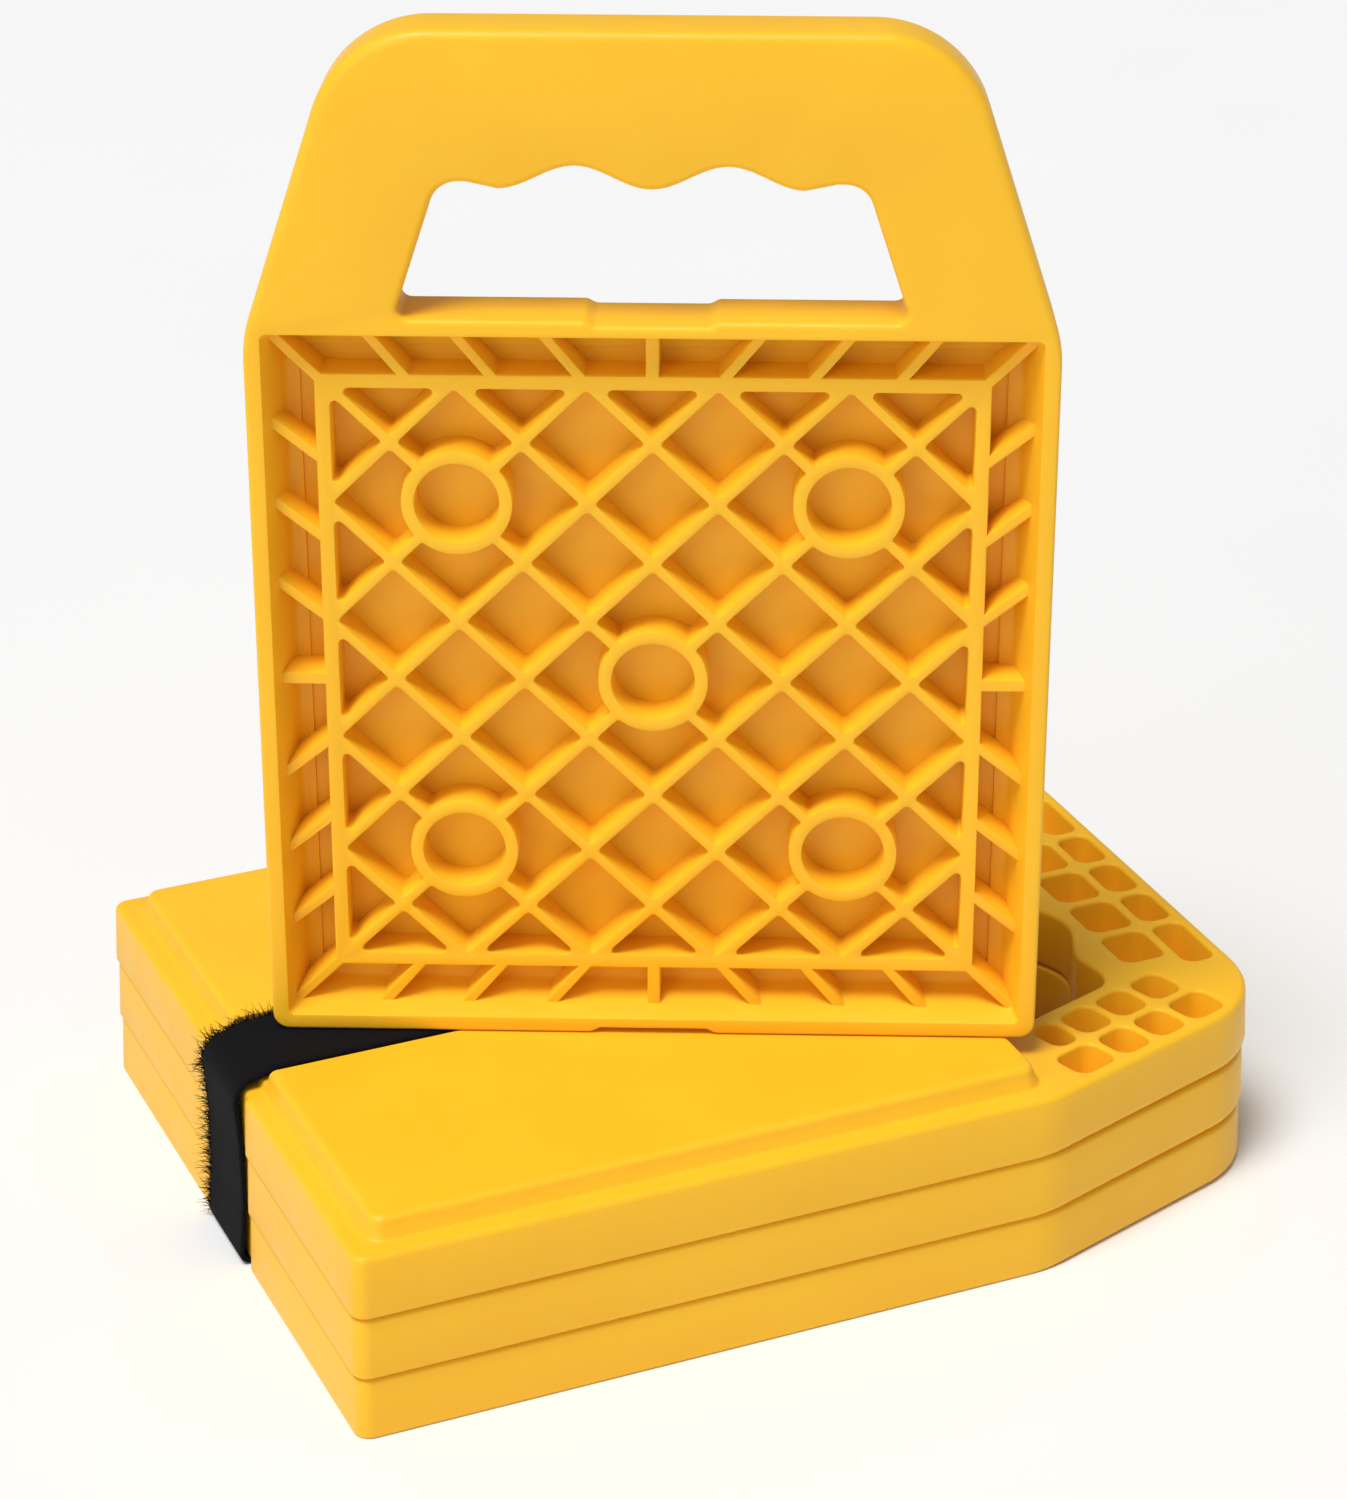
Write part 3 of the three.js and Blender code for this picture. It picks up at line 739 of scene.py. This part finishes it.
STACK_TURN = Matrix.Rotation(STACK_YAW - math.pi / 2, 3, "Z")
STANDING_TURN = Matrix(((-1, 0, 0), (0, 0, 1), (0, 1, 0)))
plain_block = block_mesh("levelling_block", False)
relieved_block = block_mesh("levelling_block_relieved", True)
for node, body, turn, mesh in (
    ("block_bottom", "stack_base", STACK_TURN, relieved_block),
    ("block_middle", "middle_block", STACK_TURN, plain_block),
    ("block_top", "top_block", STACK_TURN, plain_block),
    ("block_standing", "loose_block", STANDING_TURN, plain_block),
):
    placed = mesh.copy()
    placed.transform(block_place(node, turn))
    add_piece(f"{node}_moulding", placed, PLASTIC, body, "block_plastic", node)

# ---- The strap, drawn in the stack's upright middle plane: u to the handles, v across, z up, in mm ----

STACK = block_place("block_bottom", STACK_TURN) @ Matrix.Rotation(math.pi / 2, 4, "Z")
GAP = 0.3
WIDTH = 30.0
THICK = 1.6
RUN_Z = STACK_TOP - CHANNEL_DEPTH + GAP + THICK / 2
UNDER_Z = GAP + THICK / 2
RING_U = 50.0
RING_GAP = 9.0
RING_BAR = 3.0
RING_INNER = 32.0
WRAP_CLEARANCE = 1.1
WRAP = RING_BAR / 2 + WRAP_CLEARANCE + THICK / 2
RING_Z = RUN_Z + WRAP
FACE_U = HALF - NOTCH_DEPTH + GAP + THICK / 2
LEDGE_TOP = 2 * NEST_PITCH + LEDGE
TAIL_U = RING_U + RING_GAP / 2 + RING_BAR / 2 + 2 + GAP
TAIL_LENGTH = 38.0
HOOK_THICK = 0.8
HOOK_LENGTH = 24.0
HOOK_MARGIN = 2.0
HOOK_START = TAIL_U + TAIL_LENGTH - HOOK_LENGTH - HOOK_MARGIN
HOOK_Z = RUN_Z + THICK / 2 + GAP + HOOK_THICK / 2
TAIL_Z = RUN_Z + THICK / 2 + GAP + HOOK_THICK + GAP + THICK / 2
FIBRE_RADII = (0.1, 0.19)
FLOOR_CLEARANCE = 0.3


def end_run(side):
    """Down one end of the stack to the run under the rims: (u, z, bend radius, steps)."""
    bulge = FACE_U + 1.6
    return [(side * (DEEP_HALF + 0.7), RUN_Z, 14, 8), (side * bulge, LEDGE_TOP + 1.4, 7, 8),
            (side * FACE_U, LEDGE_TOP - 20, 60, 6), (side * FACE_U, UNDER_Z + 20, 60, 6),
            (side * bulge, UNDER_Z, 2.6, 8)]


def webbing_path():
    """Round the ring's near bar, round the stack and up to its far bar."""
    left = RING_U - RING_GAP / 2 - RING_BAR / 2
    right = RING_U + RING_GAP / 2 + RING_BAR / 2
    lap = RUN_Z + THICK + GAP
    over = RING_Z + WRAP
    bend = WRAP * 0.99
    return filleted([
        (left - 28, lap, 0, 0), (left - 13, lap, 4, 4), (left - 4, over, 4, 4),
        (left + WRAP, over, bend, 8), (left + WRAP, RUN_Z, bend, 8),
        *end_run(-1), *reversed(end_run(1)),
        (right - WRAP, RUN_Z, bend, 8), (right - WRAP, over, bend, 8), (right + 2, over, 0, 0),
    ])


def evenly(path, spacing):
    """The path with no stretch longer than the spacing."""
    out = [path[0]]
    for a, b in zip(path, path[1:]):
        steps = max(1, math.ceil((b - a).length / spacing))
        out += [a.lerp(b, k / steps) for k in range(1, steps + 1)]
    return out


def band_mesh(name, path, width, thick):
    """A flat woven band along a path in the u-z plane, with rounded selvedges."""
    path = evenly(path, 3.0)
    half, edge = width / 2, thick / 2
    section = []
    across = 10
    for side in (1, -1):
        for k in range(across + 1):
            v = side * (half - edge) * (1 - 2 * k / across)
            section.append((v, side * edge))
        section.append((-side * (half - edge * 0.3), side * edge * 0.7))
        section.append((-side * half, 0))
        section.append((-side * (half - edge * 0.3), -side * edge * 0.7))
    count = len(section)
    points, faces, lengths = [], [], []
    run = 0
    for i, here in enumerate(path):
        before, after = path[max(i - 1, 0)], path[min(i + 1, len(path) - 1)]
        along = (after - before).normalized()
        normal = Vector((-along.y, along.x))
        run += (here - before).length
        lengths.append(run)
        for v, n in section:
            place = here + normal * n
            points.append(STACK @ (Vector((place.x, v, place.y)) * MM))
    for i in range(len(path) - 1):
        for k in range(count):
            j = (k + 1) % count
            faces.append((count * i + k, count * i + j, count * (i + 1) + j, count * (i + 1) + k))
    faces.append(tuple(range(count)))
    faces.append(tuple(range(count * (len(path) - 1), count * len(path))))
    mesh = bpy.data.meshes.new(name)
    mesh.from_pydata(points, [], faces)
    uv = mesh.uv_layers.new(name="length_and_width")
    for polygon in mesh.polygons:
        for loop in polygon.loop_indices:
            vertex = mesh.loops[loop].vertex_index
            v, n = section[vertex % count]
            uv.data[loop].uv = (lengths[vertex // count], v + (width if n < 0 else 0))
    mesh.polygons.foreach_set("use_smooth", [len(p.vertices) == 4 for p in mesh.polygons])
    return turned_outwards(mesh)


def tube_into(points, faces, line, radius, sides):
    """Adds a thin closed tube along a line to lists of points and faces. Three-sided ones are tapered."""
    start = len(points)
    for i, here in enumerate(line):
        along = (line[min(i + 1, len(line) - 1)] - line[max(i - 1, 0)]).normalized()
        side = along.orthogonal().normalized()
        other = along.cross(side)
        thin = radius * (1 - 0.75 * i / (len(line) - 1)) if sides == 3 else radius
        for k in range(sides):
            turn = 2 * math.pi * k / sides
            points.append(here + (side * math.cos(turn) + other * math.sin(turn)) * thin)
    for i in range(len(line) - 1):
        for k in range(sides):
            j = (k + 1) % sides
            a = start + sides * i
            faces.append((a + k, a + j, a + sides + j, a + sides + k))
    faces.append(tuple(start + k for k in reversed(range(sides))))
    faces.append(tuple(start + sides * (len(line) - 1) + k for k in range(sides)))


def fuzz_mesh(name, path, seed, spans):
    """Loose pile fibres along the band's edges.

    spans are (first length, last length, edge side, count, reach).
    """
    dice = random.Random(seed)
    path = evenly(path, 1.0)
    lengths = [0]
    for a, b in zip(path, path[1:]):
        lengths.append(lengths[-1] + (b - a).length)
    points, faces = [], []
    for first, last, side, count, reach in spans:
        for _ in range(count):
            target = dice.uniform(first, last)
            i = min(range(len(lengths) - 1), key=lambda k: abs(lengths[k] - target))
            along = (path[i + 1] - path[i]).normalized()
            here = path[i].lerp(path[i + 1], dice.random())
            normal = Vector((-along.y, along.x)) * dice.uniform(-THICK / 2, THICK / 2)
            across = side * (WIDTH / 2 - dice.uniform(0.2, 1.2))
            root = Vector((here.x + normal.x, across, here.y + normal.y))
            out = Vector((dice.uniform(-1, 1), side * dice.uniform(0.5, 1.4), dice.uniform(-1, 1)))
            out.normalize()
            curl = Vector((dice.uniform(-1, 1), dice.uniform(-0.4, 0.4), dice.uniform(-1, 1))) * 0.7
            size = reach * dice.uniform(0.35, 1) ** 1.5
            line = [root + out * size * t + curl * size * t * t for t in (0, 0.4, 0.75, 1)]
            radius = dice.uniform(*FIBRE_RADII)
            if min(p.z for p in line) > FLOOR_CLEARANCE:
                tube_into(points, faces, line, radius, sides=3)
    mesh = bpy.data.meshes.new(name)
    mesh.from_pydata([STACK @ (p * MM) for p in points], [], faces)
    mesh.uv_layers.new(name="length_and_width")
    return mesh


def blend_strap(piece):
    """Bakes the strap piece's placement into its mesh."""
    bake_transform(piece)


def path_length(path, wanted):
    """The length along a path at the point nearest to (u, z)."""
    path = evenly(path, 1.0)
    run, best = 0, (math.inf, 0)
    for a, b in zip(path, path[1:]):
        run += (b - a).length
        best = min(best, ((b - Vector(wanted)).length, run))
    return best[1]


WEB_PATH = webbing_path()
blend_strap(add_piece("strap_band", band_mesh("strap_band", WEB_PATH, WIDTH, THICK),
                      WEBBING, None, "loop_webbing", "strap_webbing"))

plain_top = path_length(WEB_PATH, (-52, RUN_Z))
plain_foot = path_length(WEB_PATH, (-FACE_U, UNDER_Z + 3))
handle_foot = path_length(WEB_PATH, (FACE_U, UNDER_Z + 3))
handle_top = path_length(WEB_PATH, (60, RUN_Z))
blend_strap(add_piece("strap_band_fuzz", fuzz_mesh("strap_band_fuzz", WEB_PATH, 11, [
    (plain_top, plain_foot, 1, 3200, 4.6),
    (plain_top, plain_foot, -1, 300, 1.4),
    (handle_foot, handle_top, 1, 380, 2.0),
    (handle_foot, handle_top, -1, 380, 2.0),
]), WEBBING, None, "loop_webbing"))

TAIL_PATH = filleted([(TAIL_U, RING_Z + WRAP, 0, 0), (TAIL_U + 2, RING_Z + WRAP, 3, 4),
                      (TAIL_U + 9, TAIL_Z, 4, 4), (TAIL_U + TAIL_LENGTH, TAIL_Z, 0, 0)])


def blend_tail(piece):
    """Bakes the tail piece's placement into its mesh."""
    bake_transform(piece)


blend_tail(add_piece("strap_tail_band", band_mesh("strap_tail_band", TAIL_PATH, WIDTH, THICK),
                     WEBBING, None, "loop_webbing", "strap_tail"))
blend_tail(add_piece("strap_tail_fuzz", fuzz_mesh("strap_tail_fuzz", TAIL_PATH, 12, [
    (8, TAIL_LENGTH, 1, 160, 1.8), (8, TAIL_LENGTH, -1, 160, 1.8)]), WEBBING, None, "loop_webbing"))

HOOK_PATH = [Vector((HOOK_START, HOOK_Z)), Vector((HOOK_START + HOOK_LENGTH, HOOK_Z))]
add_piece("strap_hook_tape", band_mesh("strap_hook_tape", HOOK_PATH, WIDTH - 2, HOOK_THICK), HOOK,
          "strap_end", "hook_tape", "strap_hook_patch")


def ring_mesh():
    """A moulded bar bent into a rounded rectangle."""
    half_u, half_v = (RING_GAP + RING_BAR) / 2, (RING_INNER + RING_BAR) / 2
    line = filleted([(-half_u, -half_v, 2.4, 6), (half_u, -half_v, 2.4, 6),
                     (half_u, half_v, 2.4, 6), (-half_u, half_v, 2.4, 6)])
    sides, points, faces = 16, [], []
    count = len(line)
    for i, here in enumerate(line):
        along = (line[(i + 1) % count] - line[i - 1]).normalized()
        out = Vector((along.y, -along.x))
        for k in range(sides):
            turn = 2 * math.pi * k / sides
            spread = out * (math.cos(turn) * RING_BAR / 2)
            points.append(STACK @ (Vector((RING_U + here.x + spread.x, here.y + spread.y,
                                           RING_Z + math.sin(turn) * RING_BAR / 2)) * MM))
    for i in range(count):
        for k in range(sides):
            a, b = i * sides, (i + 1) % count * sides
            faces.append((a + k, b + k, b + (k + 1) % sides, a + (k + 1) % sides))
    mesh = bpy.data.meshes.new("strap_ring_bar")
    mesh.from_pydata(points, [], faces)
    mesh.polygons.foreach_set("use_smooth", [True] * len(faces))
    return mesh


add_piece("strap_ring_bar", ring_mesh(), RING, "top_block", "ring_plastic", "strap_ring")


def stitch_mesh():
    """A sewn box with a cross: short raised stitches with gaps between them."""
    z = RUN_Z + THICK * 1.5 + 2 * GAP + 0.1
    u1 = RING_U - RING_GAP / 2 - RING_BAR / 2 - 14.5
    u0, v = u1 - 12, WIDTH / 2 - 4
    runs = [((u0, -v), (u1, -v)), ((u0, v), (u1, v)), ((u0, -v), (u0, v)), ((u1, -v), (u1, v)),
            ((u0, -v), (u1, v)), ((u0, v), (u1, -v))]
    points, faces = [], []
    for start, end in runs:
        a, b = Vector(start), Vector(end)
        count = round((b - a).length / 2.4)
        for k in range(count):
            line = [a.lerp(b, (k + t) / count) for t in (0.08, 0.25, 0.5, 0.75, 0.92)]
            rise = (-0.25, 0.1, 0.2, 0.1, -0.25)
            tube_into(points, faces, [Vector((p.x, p.y, z + h)) for p, h in zip(line, rise)], 0.38, sides=8)
    mesh = bpy.data.meshes.new("strap_stitches")
    mesh.from_pydata([STACK @ (p * MM) for p in points], [], faces)
    mesh.polygons.foreach_set("use_smooth", [len(f) == 4 for f in faces])
    mesh.uv_layers.new(name="length_and_width")
    return mesh


add_piece("strap_stitches", stitch_mesh(), THREAD, "top_block", "thread", "strap_stitching")

# ---- Floor, light and camera ----

FLOOR_HALF = 40.0
WORLD_STRENGTH = 0.29
SUN_STRENGTH = 2.7
SUN_ANGLE = math.radians(24)
SUN_DIRECTION = Vector((0.22, 0.32, -0.92))
FILL_PLACE = Vector((-1.0, -1.5, 0.8))
FILL_SIZE = 0.8
FILL_POWER = 5

floor_mesh = bpy.data.meshes.new("floor")
floor_corners = [(x * FLOOR_HALF, y * FLOOR_HALF, 0) for x, y in ((-1, -1), (1, -1), (1, 1), (-1, 1))]
floor_mesh.from_pydata(floor_corners, [], [(0, 1, 2, 3)])
floor_mesh.materials.append(floor_material())
floor = bpy.data.objects.new("floor", floor_mesh)
bpy.context.collection.objects.link(floor)

TARGET = Vector((0.002, -0.029, 0.158))
ELEVATION = math.radians(27)
AZIMUTH = math.radians(1.5)
DISTANCE = 1.32
LENS = 108

world = bpy.data.worlds.new("studio")
world.use_nodes = True
world.node_tree.nodes["Background"].inputs["Color"].default_value = (1, 1, 1, 1)
world.node_tree.nodes["Background"].inputs["Strength"].default_value = WORLD_STRENGTH
bpy.context.scene.world = world

sun = bpy.data.lights.new("sky_key", "SUN")
sun.energy = SUN_STRENGTH
sun.angle = SUN_ANGLE
sun_lamp = bpy.data.objects.new("sky_key", sun)
bpy.context.collection.objects.link(sun_lamp)
sun_lamp.rotation_euler = SUN_DIRECTION.to_track_quat("-Z", "Y").to_euler()

fill = bpy.data.lights.new("fill", "AREA")
fill.energy = FILL_POWER
fill.size = FILL_SIZE
fill_lamp = bpy.data.objects.new("fill", fill)
bpy.context.collection.objects.link(fill_lamp)
fill_lamp.location = FILL_PLACE
fill_lamp.rotation_euler = (TARGET - FILL_PLACE).to_track_quat("-Z", "Y").to_euler()

camera_data = bpy.data.cameras.new("camera")
camera_data.lens = LENS
camera_data.sensor_width = 36
camera_data.clip_start = 0.05
camera = bpy.data.objects.new("camera", camera_data)
bpy.context.collection.objects.link(camera)
level = math.cos(ELEVATION)
towards = Vector((-math.sin(AZIMUTH) * level, math.cos(AZIMUTH) * level, -math.sin(ELEVATION)))
camera.location = TARGET - towards * DISTANCE
camera.rotation_euler = towards.to_track_quat("-Z", "Y").to_euler()
bpy.context.scene.camera = camera
bpy.context.scene.view_settings.view_transform = "Standard"
